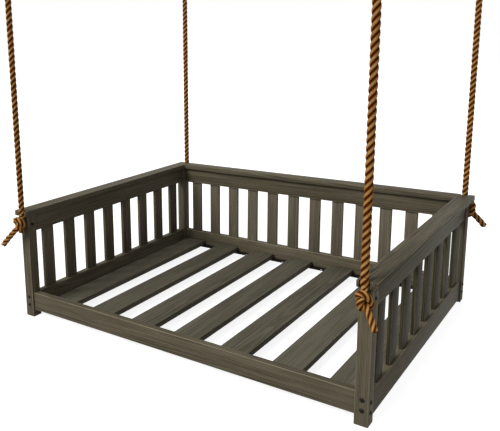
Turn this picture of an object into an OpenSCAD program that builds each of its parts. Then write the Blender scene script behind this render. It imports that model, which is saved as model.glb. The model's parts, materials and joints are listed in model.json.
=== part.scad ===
// Hanging swing bed: a slatted wooden bed on four ropes.
// X runs along the long side, Y from the open front to the back, Z up.
// The origin lies on the ceiling, midway between the four ceiling eyes.
// Each corner is drawn once, as the front left one, and mirrored to the others.

/* [Bed] */
// Length of the bed over its posts
bed_l = 2016; // [1700:1:2400]
// Depth of the bed over its posts
bed_d = 1626; // [1300:1:1900]
// Height of a post from its foot to the cap
post_h = 606; // [520:1:760]
// Width of a square post
post_w = 60; // [56:1:76]
// Height of the ceiling over the feet
ceiling_h = 2140; // [1500:1:2600]

/* [Rails] */
// Thickness of every rail
rail_t = 38; // [34:1:42]
// Step from a post's outer face in to the rail's face
rail_inset = 9; // [4:1:12]
// Height of the front rail's lower edge over the feet
front_rail_z = 42; // [30:1:50]
// Height of the front rail
front_rail_h = 105; // [90:1:130]
// Height of the side and back bottom rails' lower edge over the feet
low_rail_z = 18; // [5:1:22]
// Height of the side and back bottom rails
low_rail_h = 118; // [105:1:150]
// Height of the top rails
top_rail_h = 102; // [80:1:130]
// Thickness of a top rail's tenon
tenon_t = 20; // [12:1:24]
// Height of a top rail's tenon
tenon_h = 64; // [40:1:70]
// Length of a side top rail's tenon
tenon_l = 45; // [40:1:48]
// Length of the back top rail's short tenons
stub_l = 12; // [8:1:15]

/* [Caps] */
// Thickness of a cap board
cap_t = 30; // [20:1:40]
// Width of a cap board
cap_w = 87; // [84:1:120]
// Overhang of a cap past the posts' outer faces
cap_out = 22; // [18:1:26]

/* [Slats] */
// Width of a back slat
slat_w = 73; // [40:1:90]
// Width of a side slat
side_slat_w = 82; // [40:1:95]
// Thickness of a slat
slat_t = 20; // [12:1:24]
// Depth of a slat's seat in its rails
slat_in = 12; // [8:1:20]
// Slats in the back
back_slats = 12; // [6:1:14]
// Gap between a back post and the first back slat
back_end_gap = 59; // [20:0.5:120]
// Slats in each side
side_slats = 8; // [4:1:10]
// Gap between a post and the first side slat
side_end_gap = 72; // [20:0.5:120]

/* [Deck] */
// Deck boards
boards = 7; // [4:1:9]
// Width of a deck board
board_w = 152; // [90:1:170]
// Thickness of a deck board
board_t = 32; // [20:1:34]
// Height of the boards' tops over the feet
deck_top = 72; // [66:1:80]
// Gap between a side rail and the first board
board_end_gap = 35.5; // [5:0.5:80]
// Gap between a board's end and the rail
board_gap = 5; // [4:0.5:10]
// Leg of the steel angles under the boards
angle_leg = 30; // [24:1:34]
// Height of the back steel angle's leg, which points down
angle_drop = 22; // [20:1:24]
// Thickness of the steel angles
angle_t = 3; // [2:0.5:4]
// Gap between a post and a steel angle's end
angle_end = 50; // [46:1:60]

/* [Fasteners] */
// Diameter of the frame bolts
bolt_d = 8; // [6:1:9]
// Diameter of a bolt's domed head
bolt_head_d = 22; // [16:1:24]
// Height of a bolt's domed head
bolt_head_h = 6; // [4:0.5:8]
// Size of the key socket across its flats
key_af = 5; // [4:0.5:6]
// Heights over the feet of the bolts that run back into the side rails
side_bolt_z = [70, 117];
// Heights over the feet of the bolts that run along the front and back rails
long_bolt_z = [56, 103];
// Distance from a post's outer face to the bolt through a tenon
tenon_bolt_in = 28; // [24:1:32]
// Distance from a rail's end to its barrel nut
nut_in = 32; // [25:1:36]
// Diameter of a barrel nut
nut_d = 14; // [12:1:16]
// Length of a barrel nut
nut_l = 24; // [18:1:26]
// Diameter of a cap nut on a tenon bolt
cap_nut_d = 16; // [14:1:20]
// Height of a cap nut on a tenon bolt
cap_nut_h = 9; // [7:0.5:12]
// Diameter of the wood screws
screw_d = 5; // [4:0.5:6]
// Length of the wood screws
screw_l = 28; // [18:1:30]
// Diameter of a wood screw's head
screw_head_d = 10; // [8:0.5:12]
// Height of a wood screw's head
screw_head_h = 2.5; // [2:0.5:3]
// Diameter of the dowels under the caps
dowel_d = 10; // [8:1:12]
// Length of the dowels under the caps
dowel_l = 28; // [20:1:32]
// Dowels along each top rail
rail_dowels = 4; // [2:1:6]

/* [Ropes] */
// Diameter of the rope
rope_d = 35; // [24:1:36]
// Distance from a post's outer side face to the rope's axis
rope_in = 32; // [28:1:36]
// Gap between the rope and the post's face
rope_gap = 1; // [0.5:0.5:4]
// Clearance round the rope in the cap's notch
notch_gap = 2; // [1:0.5:4]
// Width of a stopper knot
knot_w = 88; // [76:1:100]
// Height of a stopper knot
knot_h = 92; // [80:1:110]
// Distance from a post's face to a knot's outermost side
knot_out = 76; // [66:1:90]
// Curve of a knot's side, seen along the bed
knot_side_r = 60; // [55:1:90]

/* [Ceiling fittings] */
// Diameter of a ceiling eye's lag stud
stud_d = 12; // [10:1:16]
// Length of a ceiling eye's lag stud
stud_l = 80; // [60:1:120]
// Diameter of a ceiling eye's flange
flange_d = 46; // [36:1:60]
// Thickness of a ceiling eye's flange
flange_t = 6; // [4:1:10]
// Diameter of the ceiling eye's bar
eye_bar = 12; // [10:1:14]
// Inner diameter of the ceiling eye
eye_in = 36; // [32:1:50]
// Diameter of the shackle's bar
shackle_bar = 12; // [10:1:14]
// Width inside the shackle's jaw
shackle_jaw = 42; // [40:1:50]
// Length of the shackle's straight legs
shackle_leg = 42; // [40:1:50]
// Diameter of the shackle's pin
pin_d = 14; // [12:1:16]
// Diameter of the bosses round the pin
boss_d = 26; // [22:1:30]
// Inner diameter of the round thimble
thimble_in = 32; // [28:1:40]
// Width of the round thimble
thimble_w = 38; // [36:1:39]
// Wall left under the thimble's groove
thimble_wall = 3; // [2:0.5:5]
// Diameter of the rope's splice under the thimble
splice_d = 48; // [40:1:54]
// Diameter of the splice's thin lower end
splice_tip_d = 39; // [34:1:40]
// Length of the rope's splice under the thimble
splice_l = 110; // [80:1:160]

/* [Clearances] */
// Radial clearance of a fastener or a tenon in its hole
fit = 0.1; // [0.05:0.05:0.2]
// Radial clearance of a bolt in the wood
bolt_fit = 0.5; // [0.3:0.1:0.8]
// Gap between hard pieces that hang in one another
hang_fit = 1; // [0.8:0.1:2]
// Gap between the lengths of rope that turn on one another
turn_fit = 0.5; // [0.3:0.1:1]

/* [Hidden] */
$fn = 96;
wood = "#4b4739";
wood_light = "#57523f";
steel_black = "#1c1c1d";
steel_zinc = "#9fa3a6";
rope_tan = "#a9743c";

foot_z = -ceiling_h;
top_z = post_h - top_rail_h;
low_top = low_rail_z + low_rail_h;
rail_mid = rail_inset + rail_t/2;
rail_in = rail_inset + rail_t;
slat_len = top_z - low_top + 2*slat_in - fit;
back_pitch = (bed_l - 2*post_w - 2*back_end_gap - slat_w)/(back_slats - 1);
side_pitch = (bed_d - 2*post_w - 2*side_end_gap - side_slat_w)/(side_slats - 1);
board_pitch = (bed_l - 2*rail_in - 2*board_end_gap - board_w)/(boards - 1);
board_z = deck_top - board_t;
board_l = bed_d - 2*rail_in - 2*board_gap;
angle_x = bed_l/2 - post_w - angle_end;
front_screw_z = board_z + angle_leg/2;
back_screw_z = board_z - (angle_t + angle_drop)/2;
tenon_z = post_h - top_rail_h/2;
bolt_l = post_w + nut_in + nut_d;

rope_r = rope_d/2;
rope_out = rope_r + rope_gap;
rope_x = bed_l/2 - rope_in;
rope_y = bed_d/2 + rope_out;
cap_top = foot_z + post_h + cap_t;
neck_r = rope_r - 2;
knot_z = foot_z + post_h - knot_h/2;
knot_y = knot_out - knot_w/2;
// Each tail's run from its knot's middle: out past the side, out past the post, and up
tail_fl = [104, 46, -122];
tail_fr = [66, 38, -98];
tail_br = [108, 42, -112];
tail_bl = [84, 42, -116];

eye_r = (eye_in + eye_bar)/2;
eye_z = -flange_t - eye_r - eye_bar;
sway_z = eye_z - eye_r;
bow_r = (shackle_jaw + shackle_bar)/2;
bow_z = sway_z + eye_bar/2 + hang_fit - shackle_jaw/2;
pin_z = bow_z - shackle_leg;
pin_x = shackle_jaw/2 + shackle_bar + 1;
thimble_z = pin_z + pin_d/2 + hang_fit - thimble_in/2;
loop_r = thimble_in/2 + thimble_wall + fit + rope_r;
splice_top = thimble_z - loop_r;
splice_end = splice_top - splice_l;
tube_sides = 10;
ring_step = 2.75*rope_d;

corners = [["fl", -1, -1, tail_fl], ["fr", 1, -1, tail_fr], ["br", 1, 1, tail_br], ["bl", -1, 1, tail_bl]];

// Placing --------------------------------------------------------------

// Moves what is drawn for the front left into the corner on side sx, sy
module mirrored(sx, sy)
    mirror([sx > 0 ? 1 : 0, 0, 0]) mirror([0, sy > 0 ? 1 : 0, 0]) children();

// The same, measured inwards from the corner post's outer faces and up from its foot
module at_corner(sx, sy)
    mirrored(sx, sy) translate([-bed_l/2, -bed_d/2, foot_z]) children();

// The same, on the axis of that corner's rope
module at_rope(sx, sy)
    mirrored(sx, sy) translate([-rope_x, -rope_y, 0]) children();

// Moves a piece that is the same both ways round onto that rope's axis
module on_rope(sx, sy)
    translate([sx*rope_x, sy*rope_y, 0]) children();

function slat_x(i) = post_w + back_end_gap + i*back_pitch;
function slat_y(i) = post_w + side_end_gap + i*side_pitch;
function board_x(i) = rail_in + board_end_gap + i*board_pitch;

// Shared cutters -------------------------------------------------------

// A bolt's hole through the post and on to its barrel nut, along +X
module bolt_hole()
    translate([-1, 0, 0]) rotate([0, 90, 0])
        cylinder(d = bolt_d + 2*bolt_fit, h = bolt_l + 3);

// The holes for the barrel nuts of one rail end that runs along X, drilled from its inner face
module nut_hole()
    translate([post_w + nut_in, rail_mid - nut_l/2, 0]) rotate([-90, 0, 0])
        cylinder(d = nut_d + 2*fit, h = rail_t);

// All the bolts' and nuts' holes of the rails along X at one corner
module long_bolt_holes()
    for (z = long_bolt_z) {
        translate([0, rail_mid, z]) bolt_hole();
        translate([0, 0, z]) nut_hole();
    }

// The same for the side rails, which run along Y
module side_bolt_holes()
    for (z = side_bolt_z) {
        translate([rail_mid, 0, z]) rotate([0, 0, 90]) bolt_hole();
        translate([0, 0, z]) mirror([1, -1, 0]) nut_hole();
    }

// The mortises for a row of slats, in the rail under it or in the rail over it
seat_low = low_top - slat_in;
seat_high = top_z - 1;

module slat_seats_x(z)
    for (i = [0:back_slats - 1])
        translate([slat_x(i) - fit, rail_mid - slat_t/2 - fit, z])
            cube([slat_w + 2*fit, slat_t + 2*fit, slat_in + 1]);

module slat_seats_y(z)
    for (i = [0:side_slats - 1])
        translate([rail_mid - slat_t/2 - fit, slat_y(i) - fit, z])
            cube([slat_t + 2*fit, side_slat_w + 2*fit, slat_in + 1]);

// Where the dowels stand under one side cap, and under the back cap
dowel_rail_y = [for (i = [1:rail_dowels]) slat_y((i - 0.5)*(side_slats - 1)/rail_dowels) + side_slat_w/2];
dowel_rail_x = [for (i = [1:rail_dowels]) slat_x((i - 0.5)*(back_slats - 1)/rail_dowels) + slat_w/2];

module dowels_at(side = true, extra = 0)
    for (p = side ? concat([[post_w/2, post_w/2], [post_w/2, bed_d - post_w/2]],
                           [for (y = dowel_rail_y) [rail_mid, y]])
                  : [for (x = dowel_rail_x) [x, rail_mid]])
        translate([p[0], p[1], post_h - dowel_l/2 - extra])
            cylinder(d = dowel_d + 2*extra, h = dowel_l + 2*extra);

// Frame ----------------------------------------------------------------

module post(sx, sy)
    color(wood) at_corner(sx, sy) difference() {
        cube([post_w, post_w, post_h]);
        for (z = long_bolt_z) translate([0, rail_mid, z]) bolt_hole();
        for (z = side_bolt_z) translate([rail_mid, 0, z]) rotate([0, 0, 90]) bolt_hole();
        translate([0, tenon_bolt_in, tenon_z]) bolt_hole();
        translate([rail_mid - tenon_t/2 - fit, post_w - tenon_l - fit, tenon_z - tenon_h/2 - fit])
            cube([tenon_t + 2*fit, tenon_l + 1, tenon_h + 2*fit]);
        if (sy > 0)
            translate([post_w - stub_l - fit, rail_mid - tenon_t/2 - fit, tenon_z - tenon_h/2 - fit])
                cube([stub_l + 1, tenon_t + 2*fit, tenon_h + 2*fit]);
        translate([post_w/2, post_w/2, post_h - dowel_l/2 - fit])
            cylinder(d = dowel_d + 2*fit, h = dowel_l);
    }

// Screw holes from an angle into the rail behind it, one between each two boards
module angle_screw_holes(d, h, z)
    for (i = [0:boards - 2])
        translate([board_x(i) + (board_w + board_pitch)/2, 0, z])
            rotate([90, 0, 0]) cylinder(d = d, h = h);

module front_rail()
    color(wood) at_corner(-1, -1) difference() {
        translate([post_w, rail_inset, front_rail_z])
            cube([bed_l - 2*post_w, rail_t, front_rail_h]);
        long_bolt_holes();
        translate([bed_l, 0, 0]) mirror([1, 0, 0]) long_bolt_holes();
        translate([0, rail_in + 1, 0]) angle_screw_holes(screw_d + 2*fit, screw_l, front_screw_z);
    }

module back_bottom_rail()
    color(wood) at_corner(-1, 1) difference() {
        translate([post_w, rail_inset, low_rail_z])
            cube([bed_l - 2*post_w, rail_t, low_rail_h]);
        long_bolt_holes();
        translate([bed_l, 0, 0]) mirror([1, 0, 0]) long_bolt_holes();
        slat_seats_x(seat_low);
        translate([0, rail_in + 1, 0]) angle_screw_holes(screw_d + 2*fit, screw_l, back_screw_z);
    }

// Room in the back top rail's end and stub for the tenon bolt and its nut
module tenon_bolt_room()
    translate([0, tenon_bolt_in, tenon_z]) rotate([0, 90, 0]) {
        cylinder(d = bolt_d + 2*bolt_fit, h = post_w + 1);
        translate([0, 0, post_w - 1]) cylinder(d = cap_nut_d + 2*bolt_fit, h = cap_nut_h + 2);
    }

module back_top_rail()
    color(wood) at_corner(-1, 1) difference() {
        union() {
            translate([post_w, rail_inset, top_z])
                cube([bed_l - 2*post_w, rail_t, top_rail_h]);
            translate([post_w - stub_l, rail_mid - tenon_t/2, tenon_z - tenon_h/2])
                cube([bed_l - 2*post_w + 2*stub_l, tenon_t, tenon_h]);
        }
        tenon_bolt_room();
        translate([bed_l, 0, 0]) mirror([1, 0, 0]) tenon_bolt_room();
        slat_seats_x(seat_high);
        dowels_at(side = false, extra = fit);
    }

module side_bottom_rail(sx)
    color(wood) at_corner(sx, -1) difference() {
        translate([rail_inset, post_w, low_rail_z])
            cube([rail_t, bed_d - 2*post_w, low_rail_h]);
        side_bolt_holes();
        translate([0, bed_d, 0]) mirror([0, 1, 0]) side_bolt_holes();
        slat_seats_y(seat_low);
    }

module side_top_rail(sx)
    color(wood) at_corner(sx, -1) difference() {
        union() {
            translate([rail_inset, post_w, top_z])
                cube([rail_t, bed_d - 2*post_w, top_rail_h]);
            translate([rail_mid - tenon_t/2, post_w - tenon_l, tenon_z - tenon_h/2])
                cube([tenon_t, bed_d - 2*post_w + 2*tenon_l, tenon_h]);
        }
        for (y = [tenon_bolt_in, bed_d - tenon_bolt_in])
            translate([0, y, tenon_z]) bolt_hole();
        slat_seats_y(seat_high);
        dowels_at(side = true, extra = fit);
    }

module back_slats_row()
    color(wood_light) at_corner(-1, 1)
        for (i = [0:back_slats - 1])
            translate([slat_x(i), rail_mid - slat_t/2, seat_low])
                cube([slat_w, slat_t, slat_len]);

module side_slats_row(sx)
    color(wood_light) at_corner(sx, -1)
        for (i = [0:side_slats - 1])
            translate([rail_mid - slat_t/2, slat_y(i), seat_low])
                cube([slat_t, side_slat_w, slat_len]);

// A rope's notch in a cap's end: a round bottom on the rope's axis, open outwards
module rope_notch() {
    r = rope_r + notch_gap;
    translate([rope_in, -rope_out, post_h - 1]) {
        cylinder(r = r, h = cap_t + 2);
        translate([-r, -2*r, 0]) cube([2*r, 2*r, cap_t + 2]);
    }
}

module side_cap(sx)
    color(wood_light) at_corner(sx, -1) difference() {
        translate([-cap_out, -cap_out, post_h])
            cube([cap_w, bed_d + 2*cap_out, cap_t]);
        rope_notch();
        translate([0, bed_d, 0]) mirror([0, 1, 0]) rope_notch();
        dowels_at(side = true, extra = fit);
    }

module back_cap()
    color(wood_light) at_corner(-1, 1) difference() {
        translate([cap_w - cap_out, -cap_out, post_h])
            cube([bed_l - 2*(cap_w - cap_out), cap_w, cap_t]);
        dowels_at(side = false, extra = fit);
    }

// Deck -----------------------------------------------------------------

module board_screws_at(i)
    for (x = [0.25, 0.75]*board_w, end = [0, 1])
        translate([board_x(i) + x,
                   end*bed_d + (1 - 2*end)*(rail_in + board_gap + (angle_leg - board_gap)/2),
                   board_z - angle_t])
            children();

module deck_board(i)
    color(wood) at_corner(-1, -1) difference() {
        translate([board_x(i), rail_in + board_gap, board_z])
            cube([board_w, board_l, board_t]);
        board_screws_at(i) cylinder(d = screw_d + 2*fit, h = screw_l);
    }

// The L-shaped steel under the boards' ends: its other leg points up behind the front rail,
// and down from the boards at the back
module board_angle(sy)
    color(steel_black) mirrored(-1, sy) difference() {
        translate([-angle_x, -bed_d/2 + rail_in, foot_z + board_z - angle_t])
            rotate([90, 0, 90]) linear_extrude(2*angle_x) {
                square([angle_leg, angle_t]);
                if (sy < 0) square([angle_t, angle_leg]);
                else translate([0, angle_t - angle_drop]) square([angle_t, angle_drop]);
            }
        translate([-bed_l/2, -bed_d/2, foot_z]) {
            for (i = [0:boards - 1])
                translate([0, 0, -1]) board_screws_at(i) cylinder(d = screw_d + 2*fit, h = angle_t + 2);
            translate([0, rail_in + angle_t + 1, 0])
                angle_screw_holes(screw_d + 2*fit, angle_t + 2, sy < 0 ? front_screw_z : back_screw_z);
        }
    }

// Fasteners ------------------------------------------------------------

// A screw along +Z whose head lies under z = 0
module wood_screw() {
    cylinder(d = screw_d, h = screw_l - fit);
    translate([0, 0, -screw_head_h]) cylinder(d = screw_head_d, h = screw_head_h);
}

module board_screws()
    color(steel_zinc) at_corner(-1, -1)
        for (i = [0:boards - 1]) board_screws_at(i) wood_screw();

module angle_screws()
    color(steel_zinc)
        for (sy = [-1, 1]) mirrored(-1, sy) translate([-bed_l/2, -bed_d/2, foot_z])
            for (i = [0:boards - 2])
                translate([board_x(i) + (board_w + board_pitch)/2, rail_in + angle_t,
                           sy < 0 ? front_screw_z : back_screw_z])
                    rotate([90, 0, 0]) wood_screw();

// A domed head outside x = 0 with its shank along +X
module dome_bolt(shank) {
    dome_r = (pow(bolt_head_d/2, 2) + pow(bolt_head_h, 2))/(2*bolt_head_h);
    difference() {
        union() {
            rotate([0, 90, 0]) cylinder(d = bolt_d, h = shank);
            intersection() {
                translate([dome_r - bolt_head_h, 0, 0]) sphere(r = dome_r);
                translate([-bolt_head_h, 0, 0]) rotate([0, 90, 0])
                    cylinder(d = bolt_head_d + 1, h = bolt_head_h);
            }
        }
        translate([-bolt_head_h - 1, 0, 0]) rotate([0, 90, 0])
            cylinder(r = key_af/sqrt(3), h = bolt_head_h/2 + 1, $fn = 6);
    }
}

module frame_bolts()
    color(steel_black) for (c = corners) at_corner(c[1], c[2]) {
        for (z = long_bolt_z) translate([0, rail_mid, z]) dome_bolt(bolt_l);
        for (z = side_bolt_z) translate([rail_mid, 0, z]) rotate([0, 0, 90]) dome_bolt(bolt_l);
    }

// A barrel nut whose bore takes a bolt that runs along X
module barrel_nut()
    difference() {
        translate([0, -nut_l/2, 0]) rotate([-90, 0, 0]) cylinder(d = nut_d, h = nut_l);
        translate([-nut_d, 0, 0]) rotate([0, 90, 0]) cylinder(d = bolt_d + 2*fit, h = 2*nut_d);
    }

module barrel_nuts()
    color(steel_zinc) for (c = corners) at_corner(c[1], c[2]) {
        for (z = long_bolt_z) translate([post_w + nut_in, rail_mid, z]) barrel_nut();
        for (z = side_bolt_z)
            translate([rail_mid, post_w + nut_in, z]) rotate([0, 0, 90]) barrel_nut();
    }

module tenon_bolts()
    color(steel_black) for (c = corners) at_corner(c[1], c[2])
        translate([0, tenon_bolt_in, tenon_z]) dome_bolt(post_w + cap_nut_h/2);

// A round cap nut on a tenon bolt's end, against the post's inner face
module tenon_nuts()
    color(steel_black) for (c = corners) at_corner(c[1], c[2])
        translate([post_w, tenon_bolt_in, tenon_z]) rotate([0, 90, 0]) difference() {
            cylinder(d = cap_nut_d, h = cap_nut_h);
            translate([0, 0, -1]) cylinder(d = bolt_d + 2*fit, h = cap_nut_h/2 + 1 + fit);
        }

module cap_dowels()
    color(wood_light) {
        for (sx = [-1, 1]) at_corner(sx, -1) dowels_at(side = true);
        at_corner(-1, 1) dowels_at(side = false);
    }

// Ceiling fittings -----------------------------------------------------

// One forged eye: lag stud, flange, neck and a ring whose hole faces along X
module ceiling_eye() {
    cylinder(d = stud_d, h = stud_l);
    translate([0, 0, -flange_t]) cylinder(d = flange_d, h = flange_t);
    translate([0, 0, eye_z + eye_r]) cylinder(d = eye_bar + 4, h = eye_bar);
    translate([0, 0, eye_z]) rotate([0, 90, 0])
        rotate_extrude() translate([eye_r, 0]) circle(d = eye_bar);
}

module ceiling_eyes()
    color(steel_zinc) for (c = corners) on_rope(c[1], c[2]) ceiling_eye();

// The shackle: a bow over the eye's bar, two legs and a boss at each end of the pin
module shackle(sx, sy)
    color(steel_zinc) on_rope(sx, sy) difference() {
        union() {
            translate([0, 0, bow_z]) rotate([90, 0, 0])
                rotate_extrude(angle = 180) translate([bow_r, 0]) circle(d = shackle_bar);
            for (s = [-1, 1]) {
                translate([s*bow_r, 0, pin_z]) cylinder(d = shackle_bar, h = shackle_leg);
                translate([s*bow_r - shackle_bar/2, 0, pin_z]) rotate([0, 90, 0])
                    cylinder(d = boss_d, h = shackle_bar);
            }
        }
        translate([-pin_x, 0, pin_z]) rotate([0, 90, 0]) cylinder(d = pin_d + 2*fit, h = 2*pin_x);
    }

// The shackle's pin, with a flat head at one end and a collar at the other
module shackle_pin(sx, sy)
    color(steel_zinc) on_rope(sx, sy) translate([0, 0, pin_z]) rotate([0, 90, 0]) {
        translate([0, 0, -pin_x]) cylinder(d = pin_d, h = 2*pin_x);
        for (s = [-1, 1]) translate([0, 0, s*(pin_x + 2) - 2]) cylinder(d = pin_d + 8, h = 4);
    }

// The round thimble: a grooved ring whose hole faces along X
module thimble(sx, sy)
    color(steel_zinc) on_rope(sx, sy) translate([0, 0, thimble_z]) rotate([0, 90, 0])
        rotate_extrude() difference() {
            translate([thimble_in/2, -thimble_w/2]) square([thimble_wall + rope_r*0.75, thimble_w]);
            translate([loop_r, 0]) circle(r = rope_r + fit);
        }

// Ropes ----------------------------------------------------------------

// A ring of the rope's tube round point p, square to the unit direction d
function ring(p, d, r, n) =
    let (a = abs(d[2]) > 0.9 ? [1, 0, 0] : [0, 0, 1],
         u = cross(d, a)/norm(cross(d, a)), v = cross(d, u))
    [for (k = [0:n - 1]) p + r*(u*cos(360*k/n) + v*sin(360*k/n))];

// A straight tube from a to b, with rings no further apart than ring_step
module rope_tube(a, b, sides = tube_sides) {
    n = max(1, ceil(norm(b - a)/ring_step));
    d = (b - a)/norm(b - a);
    points = [for (i = [0:n]) each ring(a + (b - a)*i/n, d, rope_r, sides)];
    faces = concat(
        [[for (k = [0:sides - 1]) k]],
        [for (i = [0:n - 1], k = [0:sides - 1])
            let (p = i*sides + k, q = i*sides + (k + 1) % sides) [p, p + sides, q]],
        [for (i = [0:n - 1], k = [0:sides - 1])
            let (p = i*sides + k, q = i*sides + (k + 1) % sides) [q, p + sides, q + sides]],
        [[for (k = [sides - 1:-1:0]) n*sides + k]]);
    polyhedron(points, faces);
}

// One rope: its eye round the thimble, the splice under it and the long free stretch
module rope(sx, sy)
    color(rope_tan) on_rope(sx, sy) {
        translate([0, 0, thimble_z]) rotate([0, 90, 0])
            rotate_extrude() translate([loop_r, 0]) circle(r = rope_r);
        translate([0, 0, splice_end]) cylinder(d1 = splice_tip_d, d2 = splice_d, h = splice_l);
        rope_tube([0, 0, cap_top + neck_r + turn_fit], [0, 0, splice_end + rope_r]);
    }

// The short length that bends at the top of the notch
module rope_neck(sx, sy)
    color(rope_tan) on_rope(sx, sy) translate([0, 0, cap_top]) sphere(r = neck_r);

// The stopper knot under the cap, the rope's length up through the notch, and the tail
module knot(sx, sy, tail)
    color(rope_tan) at_rope(sx, sy) {
        intersection() {
            translate([0, rope_out - knot_y, knot_z]) rotate_extrude() intersection() {
                translate([knot_w/2 - knot_side_r, 0]) circle(r = knot_side_r);
                translate([0, -knot_h/2]) square([knot_w, knot_h]);
            }
            translate([-knot_w, rope_out - turn_fit - 2*knot_w, knot_z - knot_h])
                cube([2*knot_w, 2*knot_w, 2*knot_h]);
        }
        translate([0, 0, foot_z + post_h - rope_r])
            cylinder(r = rope_r, h = rope_r + cap_t - neck_r - turn_fit);
        mid = [0, rope_out - knot_y, knot_z];
        run = [-tail[0], -tail[1], tail[2]];
        rope_tube(mid + run/4, mid + run, sides = 8);
    }

// Nodes ----------------------------------------------------------------

for (c = corners) {
    post(c[1], c[2]);
    shackle(c[1], c[2]);
    shackle_pin(c[1], c[2]);
    thimble(c[1], c[2]);
    rope(c[1], c[2]);
    rope_neck(c[1], c[2]);
    knot(c[1], c[2], c[3]);
}
for (i = [1:boards])
    deck_board(i - 1);
front_rail();
side_bottom_rail(-1);  // left_bottom_rail
side_bottom_rail(1);  // right_bottom_rail
back_bottom_rail();
side_top_rail(-1);  // left_top_rail
side_top_rail(1);  // right_top_rail
back_top_rail();
side_cap(-1);  // left_cap
side_cap(1);  // right_cap
back_cap();
side_slats_row(-1);  // left_slats
side_slats_row(1);  // right_slats
back_slats_row();
board_angle(-1);  // front_angle
board_angle(1);  // back_angle
frame_bolts();
barrel_nuts();
tenon_bolts();
tenon_nuts();
angle_screws();
board_screws();
cap_dowels();
ceiling_eyes();
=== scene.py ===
import json
import math
import random

import bmesh
import bpy
from mathutils import Matrix, Vector

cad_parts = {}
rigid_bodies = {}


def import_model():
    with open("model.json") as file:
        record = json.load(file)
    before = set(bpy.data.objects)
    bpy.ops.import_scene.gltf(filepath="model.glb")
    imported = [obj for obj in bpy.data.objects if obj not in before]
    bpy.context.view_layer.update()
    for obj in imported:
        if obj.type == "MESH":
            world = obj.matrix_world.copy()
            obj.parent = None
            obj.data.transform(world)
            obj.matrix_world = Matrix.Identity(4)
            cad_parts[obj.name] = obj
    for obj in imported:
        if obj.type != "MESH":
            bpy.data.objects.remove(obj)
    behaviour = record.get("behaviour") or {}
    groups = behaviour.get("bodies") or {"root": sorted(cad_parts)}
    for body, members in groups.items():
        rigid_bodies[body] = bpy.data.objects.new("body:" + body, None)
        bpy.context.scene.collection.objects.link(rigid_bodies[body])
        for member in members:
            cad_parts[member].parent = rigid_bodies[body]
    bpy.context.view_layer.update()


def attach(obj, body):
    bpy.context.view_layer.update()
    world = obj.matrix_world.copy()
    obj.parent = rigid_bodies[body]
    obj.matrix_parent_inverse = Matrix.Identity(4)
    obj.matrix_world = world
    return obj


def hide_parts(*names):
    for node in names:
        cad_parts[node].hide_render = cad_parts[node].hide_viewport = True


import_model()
print("frame loaded")

# Everything is in metres: X along the bed, Y from its open front to the back, Z up from the ceiling
bed = {"long": 2.016, "deep": 1.626, "foot": -2.140, "tall": 0.606, "post": 0.060}
rail = {"thick": 0.038, "inset": 0.009, "frontLow": 0.042, "frontTall": 0.105, "low": 0.018, "tall": 0.118,
        "topTall": 0.102}
# notch is the radius of the cap's cut for the rope, joint the gap at the back cap's ends
cap = {"thick": 0.030, "wide": 0.087, "out": 0.022, "notch": 0.0208, "joint": 0.0003}
slat = {"thick": 0.020, "seat": 0.012, "backWide": 0.073, "backCount": 12, "backGap": 0.059,
        "sideWide": 0.082, "sideCount": 8, "sideGap": 0.072}
deck = {"count": 7, "wide": 0.152, "thick": 0.032, "top": 0.072, "endGap": 0.0355, "gap": 0.005}
rope = {"thick": 0.035, "inFromSide": 0.032, "outFromPost": 0.0185, "lay": 0.094}

# Front left and so on, with the signs of X and Y
corners = {"fl": (-1, -1), "fr": (1, -1), "br": (1, 1), "bl": (-1, 1)}
halfLong, halfDeep, foot = bed["long"]/2, bed["deep"]/2, bed["foot"]
ropeX, ropeY = halfLong - rope["inFromSide"], halfDeep + rope["outFromPost"]
postTop = foot + bed["tall"]
capTop = postTop + cap["thick"]


def link(obj):
    bpy.context.scene.collection.objects.link(obj)


# Camera, fitted to the photograph's corners; angles in degrees

camera = {"place": (1.8055, -3.2789, -0.5420), "turn": -37.33, "down": 11.69, "roll": -1.39,
          "lens": 48.0, "sensor": 36, "shift": (0.200, -0.088)}


def makeCamera():
    turn, down, roll = (math.radians(camera[k]) for k in ("turn", "down", "roll"))
    ahead = Vector((math.sin(turn)*math.cos(down), math.cos(turn)*math.cos(down), -math.sin(down)))
    right = Vector((math.cos(turn), -math.sin(turn), 0))
    up = right.cross(ahead)
    rolledRight = right*math.cos(roll) + up*math.sin(roll)
    rolledUp = up*math.cos(roll) - right*math.sin(roll)
    data = bpy.data.cameras.new("camera")
    data.sensor_width, data.lens = camera["sensor"], camera["lens"]
    data.shift_x, data.shift_y = camera["shift"]
    cam = bpy.data.objects.new("camera", data)
    link(cam)
    turned = Matrix((rolledRight, rolledUp, -ahead)).transposed().to_4x4()
    cam.matrix_world = Matrix.Translation(camera["place"]) @ turned
    bpy.context.scene.camera = cam


makeCamera()


# Material nodes

def plug(tree, socket, value):
    # A wire is linked to the socket and a number set on it
    if isinstance(value, Wire):
        tree.links.new(value.socket, socket)
    else:
        socket.default_value = value


def reckon(tree, operation, *values):
    n = tree.nodes.new("ShaderNodeMath")
    n.operation = operation
    for socket, value in zip(n.inputs, values):
        plug(tree, socket, value)
    return Wire(tree, n.outputs[0])


class Wire:
    # A node's output, with which one reckons as with a number
    def __init__(self, tree, socket):
        self.tree, self.socket = tree, socket

    def maths(self, operation, *others):
        return reckon(self.tree, operation, self, *others)

    def __add__(self, o): return reckon(self.tree, "ADD", self, o)
    def __radd__(self, o): return reckon(self.tree, "ADD", o, self)
    def __sub__(self, o): return reckon(self.tree, "SUBTRACT", self, o)
    def __rsub__(self, o): return reckon(self.tree, "SUBTRACT", o, self)
    def __mul__(self, o): return reckon(self.tree, "MULTIPLY", self, o)
    def __rmul__(self, o): return reckon(self.tree, "MULTIPLY", o, self)


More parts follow.
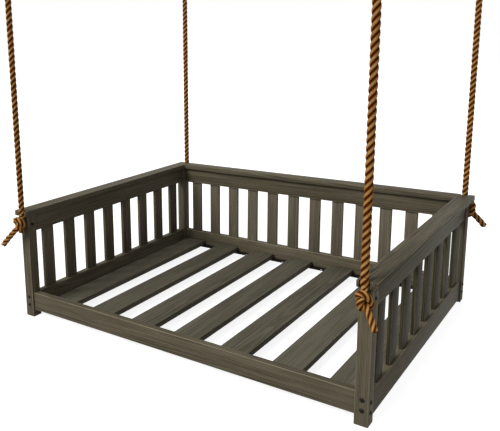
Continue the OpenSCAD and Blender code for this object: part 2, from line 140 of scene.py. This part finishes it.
class Shader:
    # One material and its nodes
    def __init__(self, name):
        self.material = bpy.data.materials.new(name)
        self.material.use_nodes = True
        self.tree = self.material.node_tree
        self.tree.nodes.clear()

    def new(self, kind):
        return self.tree.nodes.new("ShaderNode" + kind)

    def add(self, kind, out=0, **values):
        # A node with the values of its sockets, by their names
        n = self.new(kind)
        for k, v in values.items():
            plug(self.tree, n.inputs[k.replace("_", " ")], v)
        return Wire(self.tree, n.outputs[out])

    def attribute(self, name, out="Vector"):
        n = self.new("Attribute")
        n.attribute_name = name
        return Wire(self.tree, n.outputs[out])

    def parts(self, vector):
        n = self.new("SeparateXYZ")
        plug(self.tree, n.inputs[0], vector)
        return [Wire(self.tree, socket) for socket in n.outputs]

    def ramp(self, amount, *stops):
        # Three colours along the amount, each with its place
        n = self.new("ValToRGB")
        elements = n.color_ramp.elements
        for element, (place, colour) in zip([elements[0], elements[1], elements.new(0.5)], stops):
            element.position, element.color = place, (*colour, 1)
        plug(self.tree, n.inputs["Fac"], amount)
        return Wire(self.tree, n.outputs[0])

    def noise(self, vector, scale, detail=3.0, rough=0.5):
        return self.add("TexNoise", Vector=vector, Scale=scale, Detail=detail, Roughness=rough)

    def stretch(self, vector, by):
        return self.add("Mapping", Vector=vector, Scale=by)

    def between(self, value, low, high):
        # 0 below low and 1 above high, with a smooth step
        n = self.new("MapRange")
        n.interpolation_type = "SMOOTHSTEP"
        for s, v in zip(n.inputs, (value, low, high, 0.0, 1.0)):
            plug(self.tree, s, v)
        return Wire(self.tree, n.outputs[0])

    def blend(self, amount, a, b):
        # From colour a to colour b; the sockets are those that a mix of colours uses
        n = self.new("Mix")
        n.data_type = "RGBA"
        for s, v in zip((n.inputs[0], n.inputs[6], n.inputs[7]), (amount, a, b)):
            plug(self.tree, s, (*v, 1) if isinstance(v, tuple) else v)
        return Wire(self.tree, n.outputs[2])

    def bump(self, height, distance, strength):
        return self.add("Bump", Height=height, Distance=distance, Strength=strength)

    def finish(self, colour, rough, **more):
        surface = self.add("BsdfPrincipled", Base_Color=colour, Roughness=rough, **more)
        plug(self.tree, self.new("OutputMaterial").inputs[0], surface)
        return self.material


# Rope

random.seed(7)

ropeStrands, strandSides = 3, 12
# A strand's rounded end is drawn in and out by these shares of the strand's thickness, and its yarn
# attribute puts it partly in the painted groove shade, so it is a little darker than the strand's outside
endInset, endRise, endYarn = 0.15, 0.18, (0.6, 0.2, 0.0)


def strandSide(z):
    # The way the first strand lies from the rope's axis at height z
    a = 2*math.pi*(z - capTop)/rope["lay"]
    return Vector((math.cos(a), math.sin(a), 0))


def distances(line):
    # How far along the line each of its points lies
    run = [0.0]
    for a, b in zip(line, line[1:]):
        run.append(run[-1] + (b - a).length)
    return run


def smoothPath(points, step, cuts=24):
    # A Catmull-Rom curve through the points, cut into even steps
    p = [Vector(q) for q in points]
    p = [2*p[0] - p[1]] + p + [2*p[-1] - p[-2]]
    fine = []
    for i in range(1, len(p) - 2):
        a, b, c, d = p[i-1:i+3]
        for k in range(cuts):
            t = k/cuts
            fine.append(0.5*(2*b + (c - a)*t + (2*a - 5*b + 4*c - d)*t*t + (3*b - a - 3*c + d)*t**3))
    fine.append(p[-2])
    run = distances(fine)
    count = max(2, round(run[-1]/step))
    out, j = [], 0
    for i in range(count + 1):
        want = run[-1]*i/count
        while j < len(run) - 2 and run[j+1] < want:
            j += 1
        t = (want - run[j])/max(run[j+1] - run[j], 1e-9)
        out.append(fine[j].lerp(fine[j+1], min(max(t, 0), 1)))
    return out


def carriedFrames(line, first):
    # A side vector at every point, carried along the line without twisting
    out, side = [], first
    for i, p in enumerate(line):
        ahead = (line[min(i+1, len(line)-1)] - line[max(i-1, 0)]).normalized()
        side = (side - ahead*side.dot(ahead)).normalized()
        out.append((ahead, side, ahead.cross(side)))
    return out


def layStrands(bm, line, first, thick=rope["thick"], fatness=lambda t: 1.0, fill=0.53, turnBy=0.0,
               ends=(True, True)):
    # Strands laid right-handed round the line. fatness is the thickness along it as a share of thick,
    # fill a strand's share of the thickness, and ends says which ends show and are rounded
    yarn = bm.verts.layers.float_vector["yarn"]
    frames, run = carriedFrames(line, first), distances(line)
    for k in range(ropeStrands):
        centres = []
        for (ahead, side, other), p, d in zip(frames, line, run):
            a = 2*math.pi*(d/rope["lay"] + k/ropeStrands) + turnBy
            out = side*math.cos(a) + other*math.sin(a)
            f = fatness(d/run[-1])
            r = thick*f*fill/2
            centres.append((p + out*(thick*f/2 - r), out, r))
        rings = []
        for i, (c, out, r) in enumerate(centres):
            ahead = (centres[min(i+1, len(centres)-1)][0] - centres[max(i-1, 0)][0]).normalized()
            across = ahead.cross(out).normalized()
            outward = across.cross(ahead)
            ring = []
            for m in range(strandSides):
                t = 2*math.pi*m/strandSides
                v = bm.verts.new(c + outward*(r*math.cos(t)) + across*(r*math.sin(t)))
                v[yarn] = (math.cos(t), math.sin(t), run[i])
                ring.append(v)
            rings.append(ring)
        for a, b in zip(rings, rings[1:]):
            for m in range(strandSides):
                n = (m + 1) % strandSides
                bm.faces.new((a[m], a[n], b[n], b[m]))
        for rounded, ring in ((ends[0], rings[0][::-1]), (ends[1], rings[-1])):
            face = bm.faces.new(ring)
            if rounded:
                face.normal_update()
                bmesh.ops.inset_individual(bm, faces=[face], thickness=endInset*thick*fill,
                                           depth=endRise*thick*fill)
                for v in face.verts:
                    v[yarn] = endYarn


def newPiece(name, bm, body, material, replaced=(), sharpFrom=180):
    # A finished object; edges from sharpFrom degrees on are drawn sharp
    mesh = bpy.data.meshes.new(name)
    bm.to_mesh(mesh)
    bm.free()
    obj = bpy.data.objects.new(name, mesh)
    link(obj)
    mesh.materials.append(material)
    mesh.polygons.foreach_set("use_smooth", [True]*len(mesh.polygons))
    if sharpFrom < 180:
        mesh.set_sharp_from_angle(angle=math.radians(sharpFrom))
    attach(obj, body)
    if replaced:
        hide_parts(*replaced)
    return obj


def ropeBmesh():
    # yarn holds the cosine and sine round a strand, 1 and 0 on the rope's outside, and the way along it
    bm = bmesh.new()
    bm.verts.layers.float_vector.new("yarn")
    return bm


def ropeMaterial(name, shadedGrooveEdge):
    # Below the groove edge's cosine round a strand, the painted groove shade covers the tan fully
    s = Shader(name)
    cosA, sinA, along = s.parts(s.attribute("yarn"))
    angle = sinA.maths("ARCTAN2", cosA)
    place = s.add("TexCoord", out="Object")
    # Fine yarns that turn against the lay, nearly in line with the rope
    yarnCount, yarnTurn = 11, 0.085
    phase = angle*yarnCount + along*(2*math.pi*yarnCount/yarnTurn) + s.noise(place, 90, 2)*3.0
    yarns = phase.maths("SINE")*0.5 + 0.5
    fibre = s.noise(s.stretch(place, (420, 420, 120)), 1.0, 4, 0.6)
    patch = s.noise(place, 14, 3)
    tan = s.ramp(patch*0.35 + yarns*0.22 + fibre*0.43,
                 (0.28, (0.175, 0.060, 0.005)), (0.50, (0.385, 0.172, 0.034)), (0.74, (0.660, 0.385, 0.140)))
    # The strands' outsides are tan, and the grooves between them, where the strands meet, get a deep brown
    # painted shade
    colour = s.blend(s.between(cosA, shadedGrooveEdge, 1.10), (0.076, 0.0162, 0.0004), tan)
    height = yarns*0.6 + fibre*0.7
    return s.finish(colour, 0.62 - 0.12*fibre, Normal=s.bump(height, 0.0008, 0.9),
                    Specular_IOR_Level=0.0)


ropeLook = ropeMaterial("laidRope", 0.50)
knotLook = ropeMaterial("knottedRope", 0.33)

eye = {"middle": -0.130, "radius": 0.0366, "from": -68, "to": 249}
# The splice is thin at its lower end, and as thick as it gets from 1/taper of its height on
splice = {"top": -0.1606, "end": -0.2766, "thick": 0.048, "thinEnd": 0.54, "taper": 1.8, "fill": 0.38}
# Half the height of the rope's piece that bends in the cap's notch
neckHalf = 0.016
# How finely the rope is drawn: counts of steps, degrees in the eye and metres in the knot
steps = {"rope": 200, "splice": 22, "eyeDegrees": 6, "neck": 6, "knot": 0.005}

# An overhand knot drawn tight against the post and the cap, in millimetres from the rope's axis at the
# post's top: out along the bed, out past the post, and up. It runs from the rope's end of it to its tail
knotLine = [
    (4.5, 12.7, -22.1), (6.2, 17.1, -31.8), (6.9, 25, -38.8), (3.2, 33.2, -44.8), (-2, 36.9, -53.5),
    (-5.6, 36.5, -63.8), (-6.5, 32.3, -73.8), (-4.3, 25.3, -81.7), (0.6, 17, -86.6), (7.6, 8.8, -87.7),
    (16, 2.6, -84.7), (24.4, -0.5, -78.3), (30.8, -0.1, -69.3), (34, 3.7, -59.5), (34.2, 10.1, -50.6),
    (33.4, 16.6, -42), (30.6, 23, -34.4), (26, 28.8, -27.4), (19.4, 33.8, -21.3), (10.9, 37, -17.6),
    (0.1, 37.6, -17.3), (-9.5, 34.5, -21.2), (-16.2, 29.2, -28), (-18.9, 23, -36.5),
    (-17.1, 17.2, -45.4), (-11.2, 12.8, -53.3), (-2.2, 11.3, -59.1), (7.9, 13.8, -62.1),
    (15, 20.7, -65.6), (21.2, 25.3, -73.2)]
# No two are tied alike: the knotLine's factors, its shift towards the bed's middle, the rope's fatness
# in the knot, and the tail's end, again in millimetres
knots = {"fl": {"wide": 1.08, "tall": 0.93, "inward": 9, "fat": 0.94, "tail": (103, 60, -168)},
         "fr": {"wide": 0.88, "tall": 0.97, "inward": 0, "fat": 0.78, "tail": (66, 53, -144)},
         "br": {"wide": 1.08, "tall": 1.04, "inward": -8, "fat": 1.00, "tail": (106, 52, -156)},
         "bl": {"wide": 1.00, "tall": 0.95, "inward": 0, "fat": 0.90, "tail": (84, 57, -162)}}

# The rope narrows to the knot's fatness in the first 1/knotTaper of the way
knotTaper = 14


def knotRoute(corner):
    # The rope's way from the notch through the knot and out as the tail
    sx, sy = corners[corner]
    k = knots[corner]
    # The shift comes on over the first four points, and what lies far out rises a little
    turns = [(k["wide"]*s - k["inward"]*min(1, (i + 1)/4), k["wide"]*o, k["tall"]*h + 0.2*max(0, o - 10))
             for i, (s, o, h) in enumerate(knotLine)]
    leave, end, sag = Vector(turns[-1]), Vector(k["tail"]), 3
    way = [(0, 0, 1000*(cap["thick"] - neckHalf)), (0, 1, 2), (2, 6, -10)] + turns
    way += [leave.lerp(end, t) + Vector((0, 0, sag*math.sin(math.pi*t))) for t in (0.25, 0.5, 0.75, 1)]
    return [Vector((sx*(ropeX + s/1000), sy*(ropeY + o/1000), postTop + h/1000)) for s, o, h in way]


def plumbLine(x, y, low, high, count):
    return [Vector((x, y, low + (high - low)*i/count)) for i in range(count + 1)]


def makeRopes():
    for corner, (sx, sy) in corners.items():
        x, y = sx*ropeX, sy*ropeY
        low, top = capTop + neckHalf, splice["top"]
        straight = plumbLine(x, y, low, top, steps["rope"])
        bm = ropeBmesh()
        layStrands(bm, straight, strandSide(low), ends=(False, False))
        free = newPiece("rope_strands_" + corner, bm, "rope_" + corner, ropeLook,
                        ["rope_" + corner])

        # The splice: the returned end's strands tucked between the rope's own, then the eye
        bm = ropeBmesh()
        thin = splice["thinEnd"]
        layStrands(bm, plumbLine(x, y, splice["end"], top, steps["splice"]), strandSide(splice["end"]),
                   thick=splice["thick"], fatness=lambda t: thin + (1 - thin)*min(1, splice["taper"]*t),
                   fill=splice["fill"], turnBy=math.pi/3)
        turns = [math.radians(a) for a in range(eye["from"], eye["to"], steps["eyeDegrees"])]
        loop = [Vector((x, y + eye["radius"]*math.cos(a), eye["middle"] + eye["radius"]*math.sin(a)))
                for a in turns]
        layStrands(bm, loop, Vector((1, 0, 0)))
        splicePiece = newPiece("splice_" + corner, bm, "rope_" + corner, ropeLook)

        bm = ropeBmesh()
        neckLow = capTop - neckHalf
        neck = plumbLine(x, y, neckLow, low, steps["neck"])
        layStrands(bm, neck, strandSide(neckLow), ends=(False, False))
        newPiece("neck_strands_" + corner, bm, "neck_" + corner, ropeLook, ["rope_neck_" + corner])

        bm = ropeBmesh()
        route = smoothPath(knotRoute(corner), steps["knot"])
        thinner = 1 - knots[corner]["fat"]
        layStrands(bm, route, strandSide(route[0].z), ends=(False, True),
                   fatness=lambda t: 1 - thinner*min(1, knotTaper*t))
        newPiece("knot_turns_" + corner, bm, "bed", knotLook, ["knot_" + corner])

        top - low


makeRopes()
print("ropes laid")


# Wood

def woodMaterial(name, dark, mid, light, rough=0.46, ring=0.0062):
    s = Shader(name)
    grain, place, half = s.attribute("grainAt"), s.attribute("boardAt"), s.attribute("boardHalf")
    # The seed attribute carries each board's random tone together with its set's painted shade and painted
    # light
    seed, wearAndHighlight = s.attribute("boardToneAndShade", out="Fac"), s.attribute("boardWearAndHighlight", out="Fac")

    # Year rings round the pith, bent and rippled; ring is their width
    _, gy, gz = s.parts(grain)
    bend = s.noise(s.stretch(grain, (0.9, 5, 5)), 1.0, 2)*0.034
    ripple = s.noise(s.stretch(grain, (5, 40, 40)), 1.0, 2)*0.0035
    around = (gy*gy + gz*gz).maths("SQRT")
    saw = ((around + bend + ripple)*(1/ring)).maths("FRACT")
    late = s.between(saw, 0.35, 0.92)*(1 - s.between(saw, 0.93, 1.0))
    streak = s.noise(s.stretch(grain, (2.2, 85, 85)), 1.0, 5, 0.62)
    fibre = s.noise(s.stretch(grain, (9, 480, 480)), 1.0, 3, 0.6)
    cloud = s.noise(s.stretch(grain, (1.6, 9, 9)), 1.0, 3)
    pores = s.between(s.noise(s.stretch(grain, (26, 900, 900)), 1.0, 2, 0.5), 0.60, 0.74)
    tone = streak*0.55 + fibre*0.16 + cloud*0.22 + late*0.12 + (seed - 0.5)*0.08 - pores*0.10
    colour = s.ramp(tone, (0.30, dark), (0.50, mid), (0.72, light))

    # Lighter edges, partly real wear and partly a painted highlight where the rounded edges catch the light:
    # near an edge two of the distances to a board's faces are small
    a, b, c = (h - p.maths("ABSOLUTE") for h, p in zip(s.parts(half), s.parts(place)))
    second = a.maths("MINIMUM", b).maths("MAXIMUM", a.maths("MAXIMUM", b).maths("MINIMUM", c))
    rub = s.noise(s.stretch(grain, (14, 120, 120)), 1.0, 4, 0.65)
    edgeWearAndHighlight = (1 - s.between(second, 0.0008, 0.0038))*s.between(rub + wearAndHighlight*0.2, 0.36, 0.62)
    # The edges' colour, the light tone brightened, is wear and a painted highlight together
    colour = s.blend(edgeWearAndHighlight*(wearAndHighlight*0.6 + 0.15), colour, tuple(min(1, 2.3*c) for c in light))
    height = streak*0.45 + fibre*0.35 - pores*0.5 + late*0.25
    return s.finish(colour, rough + 0.16*streak - 0.05*late, Normal=s.bump(height, 0.0007, 0.55),
                    Specular_IOR_Level=0.03)


frameWood = woodMaterial("frameWood", (0.032, 0.027, 0.016), (0.077, 0.066, 0.041), (0.153, 0.131, 0.090))
slatWood = woodMaterial("slatWood", (0.032, 0.027, 0.016), (0.079, 0.068, 0.044), (0.153, 0.131, 0.092))
deckWood = woodMaterial("deckWood", (0.042, 0.038, 0.026), (0.087, 0.079, 0.056), (0.134, 0.121, 0.089),
                        rough=0.52)

# How far each part's edges are rounded, in metres, and how strongly they are drawn lighter, from 0 to 1, as
# real wear together with a painted highlight. Edges with an angle over cornerAngle, in radians, are rounded
cornerAngle = 0.6
edges = {"post": (0.0025, 0.25), "frontRail": (0.003, 0.6), "backRail": (0.002, 0.5),
         "sideRail": (0.002, 0.25), "slat": (0.0018, 0.1), "sideCap": (0.0028, 0.15),
         "backCap": (0.0028, 0.25), "deck": (0.003, 0.25)}
# How much darker than plain each set is drawn, as painted shade where less light reaches it; below 0 it is
# drawn lighter, as painted light
slatPaintedShade = {"back": -0.8, "left": 0, "right": 2.4}
capPaintedShade = {"back": 0, "left": 0, "right": 0.8}
# A board in its log: its place along it, its distances from the pith and how far it leans
log = {"along": 40, "near": 0.02, "far": 0.11, "lean": 0.012}
sides = {"left": -1, "right": 1}


def fromPith():
    return random.uniform(log["near"], log["far"])*random.choice((-1, 1))


class Boards:
    # Boards in one mesh, each with rounded edges and its own place in a log
    def __init__(self, paintedShade=0):
        self.bm, self.paintedShade = bmesh.new(), paintedShade
        layer = self.bm.verts.layers
        self.at, self.half = layer.float_vector.new("boardAt"), layer.float_vector.new("boardHalf")
        self.grain, self.seed = layer.float_vector.new("grainAt"), layer.float.new("boardToneAndShade")
        self.wearAndHighlight = layer.float.new("boardWearAndHighlight")
        self.done = layer.int.new("done")

    def isNew(self, v):
        return v[self.done] == 0

    def settle(self, low, high, along, kind):
        # Rounds the new board's edges and gives its points their place on the board and in its log
        ease, wearAndHighlight = edges[kind]
        rounded = [e for e in self.bm.edges if all(self.isNew(v) for v in e.verts)
                   and len(e.link_faces) == 2 and e.calc_face_angle() > cornerAngle]
        bmesh.ops.bevel(self.bm, geom=rounded, offset=ease, offset_type="OFFSET", segments=2,
                        profile=0.5, affect="EDGES", clamp_overlap=True, material=-1)

        centre, half = (low + high)/2, (high - low)/2
        order = {"x": (0, 1, 2), "y": (1, 0, 2), "z": (2, 0, 1)}[along]
        pith = Vector((random.uniform(-log["along"], log["along"]), fromPith(), fromPith()))
        leanY, leanZ = (random.uniform(-log["lean"], log["lean"]) for _ in range(2))
        # The board's random tone, lowered by its set's painted shade and raised by painted light where that
        # is below 0
        tone = random.uniform(0, 1) - self.paintedShade
        for v in self.bm.verts:
            if self.isNew(v):
                p = v.co - centre
                p = Vector([p[i] for i in order])
                v[self.at] = p
                v[self.half] = [half[i] for i in order]
                v[self.grain] = p + pith + Vector((0, leanY*p.x, leanZ*p.x))
                v[self.seed] = tone
                v[self.wearAndHighlight] = wearAndHighlight
                v[self.done] = 1

    def box(self, low, high, along, kind):
        low, high = Vector(low), Vector(high)
        made = bmesh.ops.create_cube(self.bm, size=1)["verts"]
        bmesh.ops.scale(self.bm, vec=high - low, verts=made)
        bmesh.ops.translate(self.bm, vec=(low + high)/2, verts=made)
        self.settle(low, high, along, kind)

    def outline(self, points, low, high, along, kind):
        # A board cut to an outline in plan, from z = low to z = high
        verts = [self.bm.verts.new((x, y, low)) for x, y in points]
        face = self.bm.faces.new(verts)
        made = bmesh.ops.extrude_face_region(self.bm, geom=[face])["geom"]
        top = [v for v in made if isinstance(v, bmesh.types.BMVert)]
        bmesh.ops.translate(self.bm, vec=(0, 0, high - low), verts=top)
        added = [f for f in self.bm.faces if all(self.isNew(v) for v in f.verts)]
        bmesh.ops.recalc_face_normals(self.bm, faces=added)
        xs, ys = zip(*points)
        self.settle(Vector((min(xs), min(ys), low)), Vector((max(xs), max(ys), high)), along, kind)

    def piece(self, name, slotName, material, *nodes):
        self.bm.verts.layers.int.remove(self.done)
        newPiece(name, self.bm, "bed", material, nodes, sharpFrom=30)


def atCorner(sx, sy, lowIn, highIn):
    # A box measured inwards from a corner's outer faces and up from its foot
    xs = sorted(sx*(halfLong - v) for v in (lowIn[0], highIn[0]))
    ys = sorted(sy*(halfDeep - v) for v in (lowIn[1], highIn[1]))
    return (xs[0], ys[0], foot + lowIn[2]), (xs[1], ys[1], foot + highIn[2])


def makeFrame():
    post, tall = bed["post"], bed["tall"]
    inner = rail["inset"] + rail["thick"]
    for corner, (sx, sy) in corners.items():
        b = Boards()
        b.box(*atCorner(sx, sy, (0, 0, 0), (post, post, tall)), "z", "post")
        b.piece("post_wood_" + corner, "frame_wood", frameWood, "post_" + corner)
    b = Boards()
    low = foot + rail["frontLow"]
    b.box((-halfLong + post, -halfDeep + rail["inset"], low),
          (halfLong - post, -halfDeep + inner, low + rail["frontTall"]), "x", "frontRail")
    b.piece("front_rail_wood", "frame_wood", frameWood, "front_rail")
    topLow = tall - rail["topTall"]
    for name, low, high in (("bottom", rail["low"], rail["low"] + rail["tall"]), ("top", topLow, tall)):
        b = Boards()
        b.box((-halfLong + post, halfDeep - inner, foot + low),
              (halfLong - post, halfDeep - rail["inset"], foot + high), "x", "backRail")
        b.piece("back_%s_rail_wood" % name, "frame_wood", frameWood, "back_%s_rail" % name)
        for side, sx in sides.items():
            b = Boards()
            b.box(*atCorner(sx, -1, (rail["inset"], post, low), (inner, bed["deep"] - post, high)),
                  "y", "sideRail")
            b.piece("%s_%s_rail_wood" % (side, name), "frame_wood", frameWood, "%s_%s_rail" % (side, name))


def spread(length, gap, wide, count):
    # Where boards start that are spread evenly over a length, with a gap before the first
    pitch = (length - 2*gap - wide)/(count - 1)
    return [gap + i*pitch for i in range(count)]


def makeSlats():
    low = rail["low"] + rail["tall"] - slat["seat"]
    high = bed["tall"] - rail["topTall"] + slat["seat"]
    near = rail["inset"] + (rail["thick"] - slat["thick"])/2
    far, post = near + slat["thick"], bed["post"]
    b = Boards(slatPaintedShade["back"])
    for x in spread(bed["long"] - 2*post, slat["backGap"], slat["backWide"], slat["backCount"]):
        x += post
        b.box(*atCorner(-1, 1, (x, near, low), (x + slat["backWide"], far, high)), "z", "slat")
    b.piece("back_slats_wood", "slat_wood", slatWood, "back_slats_row")
    for side, sx in sides.items():
        b = Boards(slatPaintedShade[side])
        for y in spread(bed["deep"] - 2*post, slat["sideGap"], slat["sideWide"], slat["sideCount"]):
            y += post
            b.box(*atCorner(sx, -1, (near, y, low), (far, y + slat["sideWide"], high)), "z", "slat")
        b.piece(side + "_slats_wood", "slat_wood", slatWood, side + "_slats")


def makeCaps():
    outX, outY, wide, r = halfLong + cap["out"], halfDeep + cap["out"], cap["wide"], cap["notch"]
    halfTurn = [math.pi*i/12 for i in range(13)]
    for side, sx in sides.items():
        points = []
        for sy in (-1, 1):
            # Each end has a round-bottomed notch for the rope
            end = [(sx*outX, sy*outY), (sx*(ropeX + r), sy*outY)]
            end += [(sx*(ropeX + r*math.cos(a)), sy*(ropeY - r*math.sin(a))) for a in halfTurn]
            end += [(sx*(ropeX - r), sy*outY), (sx*(outX - wide), sy*outY)]
            points += end if sy < 0 else end[::-1]
        b = Boards(capPaintedShade[side])
        b.outline(points, postTop, capTop, "y", "sideCap")
        b.piece(side + "_cap_wood", "slat_wood", slatWood, side + "_cap")
    b = Boards(capPaintedShade["back"])
    endX = outX - wide - cap["joint"]
    b.box((-endX, outY - wide, postTop), (endX, outY, capTop), "x", "backCap")
    b.piece("back_cap_wood", "slat_wood", slatWood, "back_cap")


def makeDeck():
    inner = rail["inset"] + rail["thick"]
    endY, top = halfDeep - inner - deck["gap"], foot + deck["top"]
    starts = spread(bed["long"] - 2*inner, deck["endGap"], deck["wide"], deck["count"])
    for i, start in enumerate(starts, 1):
        x = -halfLong + inner + start
        b = Boards()
        b.box((x, -endY, top - deck["thick"]), (x + deck["wide"], endY, top), "y", "deck")
        b.piece("deck_wood_%d" % i, "deck_wood", deckWood, "deck_board_%d" % i)


makeFrame()
makeSlats()
makeCaps()
makeDeck()
print("wood cut")


# Steel

def plainMaterial(name, colour, metal, rough, speck, grainSize, shine=0.5):
    # A plain finish, for the dowels too; its colour varies by speck, lighter and darker
    s = Shader(name)
    place = s.add("TexCoord", out="Object")
    fine = s.noise(place, grainSize, 4, 0.6)
    cloud = s.noise(place, grainSize/9, 3)
    dark, pale = (tuple(c*k for c in colour) for k in (1 - speck, 1 + speck))
    shade = s.blend(s.between(fine*0.6 + cloud*0.4, 0.35, 0.65), dark, pale)
    return s.finish(shade, rough + 0.15*cloud - 0.05*fine, Metallic=metal,
                    Normal=s.bump(fine, 0.0002, 0.4), Specular_IOR_Level=shine)


blackSteel = plainMaterial("blackSteel", (0.006, 0.005, 0.004), 0.0, 0.40, 0.25, 900, 0.12)
zincSteel = plainMaterial("zincSteel", (0.56, 0.57, 0.58), 1.0, 0.26, 0.12, 700)
galvanised = plainMaterial("galvanised", (0.40, 0.42, 0.43), 0.9, 0.42, 0.20, 260)
bareBeech = plainMaterial("bareBeech", (0.50, 0.36, 0.21), 0.0, 0.5, 0.12, 300)


def dress(material, *nodes):
    # The solids that show as they are
    for n in nodes:
        obj = bpy.data.objects[n]
        obj.data.materials.clear()
        obj.data.materials.append(material)


dress(blackSteel, "front_angle", "back_angle", "frame_bolts", "tenon_bolts", "tenon_nuts")
dress(zincSteel, "barrel_nuts", "angle_screws", "board_screws")
dress(bareBeech, "cap_dowels")
dress(galvanised, "ceiling_eyes",
      *[kind + c for kind in ("shackle_", "shackle_pin_", "thimble_") for c in corners])
print("steel finished")


# Light and floor

light = {"sky": 0.50, "sun": 2.95, "softDegrees": 28, "from": (-0.40, -0.95, 0.95)}
# The floor takes the bed's shadow, and for the background's rays it glows by itself
floor = {"half": 30, "below": 0.001, "glow": 0.86, "grey": 0.40}


def backgroundRays(tree):
    # 1 for the rays that show the background: the camera's, and those of reflections and clear things
    path = tree.nodes.new("ShaderNodeLightPath")
    direct, glossy, clear = (Wire(tree, path.outputs["Is %s Ray" % kind])
                             for kind in ("Camera", "Glossy", "Transmission"))
    return direct.maths("MAXIMUM", glossy).maths("MAXIMUM", clear)


def makeLight():
    world = bpy.data.worlds.new("studio")
    bpy.context.scene.world = world
    world.use_nodes = True
    tree = world.node_tree
    tree.nodes.clear()
    lit, seen = tree.nodes.new("ShaderNodeBackground"), tree.nodes.new("ShaderNodeBackground")
    lit.inputs["Color"].default_value = seen.inputs["Color"].default_value = (1, 1, 1, 1)
    lit.inputs["Strength"].default_value = light["sky"]
    seen.inputs["Strength"].default_value = 1.0
    mix, out = tree.nodes.new("ShaderNodeMixShader"), tree.nodes.new("ShaderNodeOutputWorld")
    plug(tree, mix.inputs[0], backgroundRays(tree))
    tree.links.new(lit.outputs[0], mix.inputs[1])
    tree.links.new(seen.outputs[0], mix.inputs[2])
    tree.links.new(mix.outputs[0], out.inputs[0])
    sun = bpy.data.lights.new("sun", "SUN")
    sun.energy, sun.angle = light["sun"], math.radians(light["softDegrees"])
    lamp = bpy.data.objects.new("sun", sun)
    lamp.rotation_euler = Vector(light["from"]).to_track_quat("Z", "Y").to_euler()
    link(lamp)


def makeFloor():
    bm = bmesh.new()
    bmesh.ops.create_grid(bm, x_segments=1, y_segments=1, size=floor["half"])
    bmesh.ops.translate(bm, vec=(0, 0, foot - floor["below"]), verts=bm.verts)
    mesh = bpy.data.meshes.new("floor")
    bm.to_mesh(mesh)
    bm.free()
    floorPiece = bpy.data.objects.new("floor", mesh)
    link(floorPiece)
    material = bpy.data.materials.new("paleFloor")
    material.use_nodes = True
    tree = material.node_tree
    tree.nodes.clear()
    matt, glow = tree.nodes.new("ShaderNodeBsdfDiffuse"), tree.nodes.new("ShaderNodeEmission")
    matt.inputs["Color"].default_value = (floor["grey"], floor["grey"], floor["grey"], 1)
    plug(tree, glow.inputs["Strength"], backgroundRays(tree)*floor["glow"])
    add, out = tree.nodes.new("ShaderNodeAddShader"), tree.nodes.new("ShaderNodeOutputMaterial")
    tree.links.new(matt.outputs[0], add.inputs[0])
    tree.links.new(glow.outputs[0], add.inputs[1])
    tree.links.new(add.outputs[0], out.inputs[0])
    mesh.materials.append(material)


makeLight()
makeFloor()
bpy.context.scene.view_settings.view_transform = "Standard"
